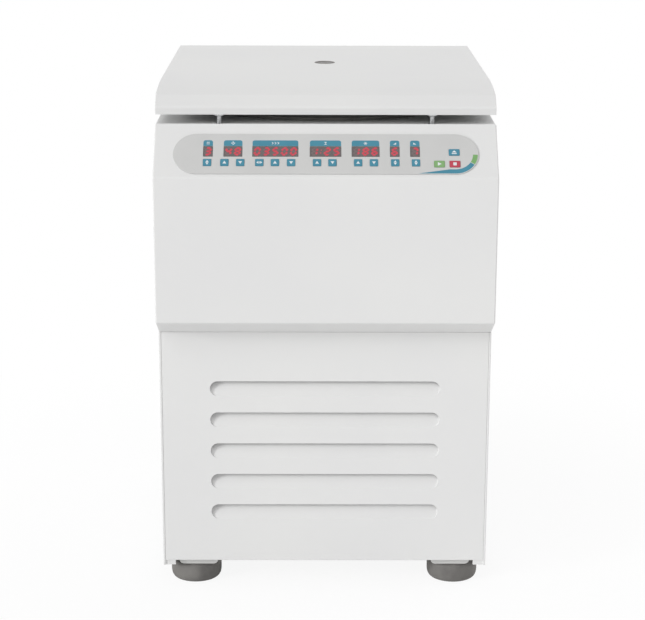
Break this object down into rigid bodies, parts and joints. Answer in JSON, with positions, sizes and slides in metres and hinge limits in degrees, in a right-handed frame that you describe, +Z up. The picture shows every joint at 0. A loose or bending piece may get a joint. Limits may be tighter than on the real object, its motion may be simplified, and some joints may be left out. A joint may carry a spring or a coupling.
{
  "type": "floor standing low speed centrifuge",
  "caption": "Floor standing low speed centrifuge: light grey cabinet, sloping control panel, louvred front, hinged lid and swing-out bucket rotor.",
  "frame": {"origin": "on the floor, under the middle of the overall box", "axes": "+Z up, -Y towards the operator (the control front faces -Y), +X to the operator's right"},
  "size_m": [0.6, 0.726, 0.928],
  "materials": {
    "light_grey_paint": "fine textured powder coat, satin",
    "stainless_steel": "brushed",
    "zinc_plate": "zinc plated",
    "cast_aluminium": "machined, matt",
    "dark_paint": "dark grey paint",
    "lid_liner": "moulded, matt grey",
    "copper_tube": "drawn copper",
    "grey_rubber": "dark grey, matt",
    "black_casting": "black enamel",
    "black_plastic": "moulded, matt",
    "overlay_film": "satin polyester film",
    "display_window": "dark tinted display windows on a circuit board",
    "smoked_lens": "smoked, polished",
    "blue_key": "satin blue",
    "green_key": "satin green",
    "red_key": "satin red"
  },
  "bodies": {
    "cabinet": {"base_pan": "light_grey_paint", "lower_front_panel": "light_grey_paint", "side_panel_left": "light_grey_paint", "side_panel_right": "light_grey_paint", "rear_panel": "light_grey_paint", "front_fascia": "light_grey_paint", "top_deck": "light_grey_paint", "control_overlay": "overlay_film", "display_board": "display_window", "motor_shelf": "zinc_plate", "chamber_bowl": "stainless_steel", "guard_barrel": "dark_paint", "evaporator_coil": "copper_tube", "chamber_gasket": "grey_rubber", "motor_housing": "black_casting", "damper_1": "grey_rubber", "damper_2": "grey_rubber", "damper_3": "grey_rubber", "compressor": "black_casting", "condenser": "cast_aluminium", "fan_shroud": "black_plastic", "foot_1": "grey_rubber", "foot_2": "grey_rubber", "foot_3": "grey_rubber", "foot_4": "grey_rubber", "latch_beam": "zinc_plate", "hinge_rail": "zinc_plate", "mains_inlet": "black_plastic"},
    "lid": {"lid_shell": "light_grey_paint", "lid_frame": "lid_liner", "peephole_lens": "smoked_lens", "latch_striker_left": "stainless_steel", "latch_striker_right": "stainless_steel", "hinge_rod": "stainless_steel"},
    "rotor": {"drive_shaft": "stainless_steel", "rotor_head": "cast_aluminium", "rotor_nut": "stainless_steel"},
    "bucket_1": {"bucket_1": "stainless_steel"},
    "bucket_2": {"bucket_2": "stainless_steel"},
    "bucket_3": {"bucket_3": "stainless_steel"},
    "bucket_4": {"bucket_4": "stainless_steel"},
    "fan": {"fan_blade": "black_plastic"},
    "latch_bolt_left": {"latch_bolt_left": "stainless_steel"},
    "latch_bolt_right": {"latch_bolt_right": "stainless_steel"},
    "power_switch": {"power_switch": "black_plastic"},
    "key_program": {"key_program": "blue_key"},
    "key_rotor_down": {"key_rotor_down": "blue_key"},
    "key_rotor_up": {"key_rotor_up": "blue_key"},
    "key_speed_shift": {"key_speed_shift": "blue_key"},
    "key_speed_down": {"key_speed_down": "blue_key"},
    "key_speed_up": {"key_speed_up": "blue_key"},
    "key_time_down": {"key_time_down": "blue_key"},
    "key_time_up": {"key_time_up": "blue_key"},
    "key_temp_down": {"key_temp_down": "blue_key"},
    "key_temp_up": {"key_temp_up": "blue_key"},
    "key_accel": {"key_accel": "blue_key"},
    "key_decel": {"key_decel": "blue_key"},
    "key_start": {"key_start": "green_key"},
    "key_stop": {"key_stop": "red_key"},
    "key_lid": {"key_lid": "blue_key"}
  },
  "joints": [
    {"name": "lid_hinge", "type": "hinge", "parent": "cabinet", "child": "lid", "pos_m": [0, 0.349, 0.875], "axis": [-1, 0, 0], "range_deg": [0, 80]},
    {"name": "rotor_spin", "type": "hinge", "parent": "cabinet", "child": "rotor", "pos_m": [0, 0.023, 0.752], "axis": [0, 0, 1], "continuous": true},
    {"name": "bucket_1_swing", "type": "hinge", "parent": "rotor", "child": "bucket_1", "pos_m": [0.122, 0.023, 0.752], "axis": [0, -1, 0], "range_deg": [0, 90]},
    {"name": "bucket_2_swing", "type": "hinge", "parent": "rotor", "child": "bucket_2", "pos_m": [0, 0.145, 0.752], "axis": [1, 0, 0], "range_deg": [0, 90]},
    {"name": "bucket_3_swing", "type": "hinge", "parent": "rotor", "child": "bucket_3", "pos_m": [-0.122, 0.023, 0.752], "axis": [0, 1, 0], "range_deg": [0, 90]},
    {"name": "bucket_4_swing", "type": "hinge", "parent": "rotor", "child": "bucket_4", "pos_m": [0, -0.099, 0.752], "axis": [-1, 0, 0], "range_deg": [0, 90]},
    {"name": "fan_spin", "type": "hinge", "parent": "cabinet", "child": "fan", "pos_m": [0, -0.2243, 0.2023], "axis": [0, 1, 0], "continuous": true},
    {"name": "latch_left_slide", "type": "slide", "parent": "cabinet", "child": "latch_bolt_left", "axis": [-1, 0, 0], "range_m": [0, 0.013], "stiffness_N_per_m": 30},
    {"name": "latch_right_slide", "type": "slide", "parent": "cabinet", "child": "latch_bolt_right", "axis": [1, 0, 0], "range_m": [0, 0.013], "stiffness_N_per_m": 30},
    {"name": "power_switch_rock", "type": "hinge", "parent": "cabinet", "child": "power_switch", "pos_m": [-0.13, 0.3415, 0.12], "axis": [1, 0, 0], "range_deg": [0, 14]},
    {"name": "key_program_press", "type": "slide", "parent": "cabinet", "child": "key_program", "axis": [0, 0.7344, -0.6787], "range_m": [0, 0.0005], "stiffness_N_per_m": 400},
    {"name": "key_rotor_down_press", "type": "slide", "parent": "cabinet", "child": "key_rotor_down", "axis": [0, 0.7344, -0.6787], "range_m": [0, 0.0005], "stiffness_N_per_m": 400},
    {"name": "key_rotor_up_press", "type": "slide", "parent": "cabinet", "child": "key_rotor_up", "axis": [0, 0.7344, -0.6787], "range_m": [0, 0.0005], "stiffness_N_per_m": 400},
    {"name": "key_speed_shift_press", "type": "slide", "parent": "cabinet", "child": "key_speed_shift", "axis": [0, 0.7344, -0.6787], "range_m": [0, 0.0005], "stiffness_N_per_m": 400},
    {"name": "key_speed_down_press", "type": "slide", "parent": "cabinet", "child": "key_speed_down", "axis": [0, 0.7344, -0.6787], "range_m": [0, 0.0005], "stiffness_N_per_m": 400},
    {"name": "key_speed_up_press", "type": "slide", "parent": "cabinet", "child": "key_speed_up", "axis": [0, 0.7344, -0.6787], "range_m": [0, 0.0005], "stiffness_N_per_m": 400},
    {"name": "key_time_down_press", "type": "slide", "parent": "cabinet", "child": "key_time_down", "axis": [0, 0.7344, -0.6787], "range_m": [0, 0.0005], "stiffness_N_per_m": 400},
    {"name": "key_time_up_press", "type": "slide", "parent": "cabinet", "child": "key_time_up", "axis": [0, 0.7344, -0.6787], "range_m": [0, 0.0005], "stiffness_N_per_m": 400},
    {"name": "key_temp_down_press", "type": "slide", "parent": "cabinet", "child": "key_temp_down", "axis": [0, 0.7344, -0.6787], "range_m": [0, 0.0005], "stiffness_N_per_m": 400},
    {"name": "key_temp_up_press", "type": "slide", "parent": "cabinet", "child": "key_temp_up", "axis": [0, 0.7344, -0.6787], "range_m": [0, 0.0005], "stiffness_N_per_m": 400},
    {"name": "key_accel_press", "type": "slide", "parent": "cabinet", "child": "key_accel", "axis": [0, 0.7344, -0.6787], "range_m": [0, 0.0005], "stiffness_N_per_m": 400},
    {"name": "key_decel_press", "type": "slide", "parent": "cabinet", "child": "key_decel", "axis": [0, 0.7344, -0.6787], "range_m": [0, 0.0005], "stiffness_N_per_m": 400},
    {"name": "key_start_press", "type": "slide", "parent": "cabinet", "child": "key_start", "axis": [0, 0.7344, -0.6787], "range_m": [0, 0.0005], "stiffness_N_per_m": 400},
    {"name": "key_stop_press", "type": "slide", "parent": "cabinet", "child": "key_stop", "axis": [0, 0.7344, -0.6787], "range_m": [0, 0.0005], "stiffness_N_per_m": 400},
    {"name": "key_lid_press", "type": "slide", "parent": "cabinet", "child": "key_lid", "axis": [0, 0.7344, -0.6787], "range_m": [0, 0.0005], "stiffness_N_per_m": 400}
  ],
  "couplings": [
    {"joint": "latch_right_slide", "follows": "latch_left_slide", "ratio": 1}
  ]
}
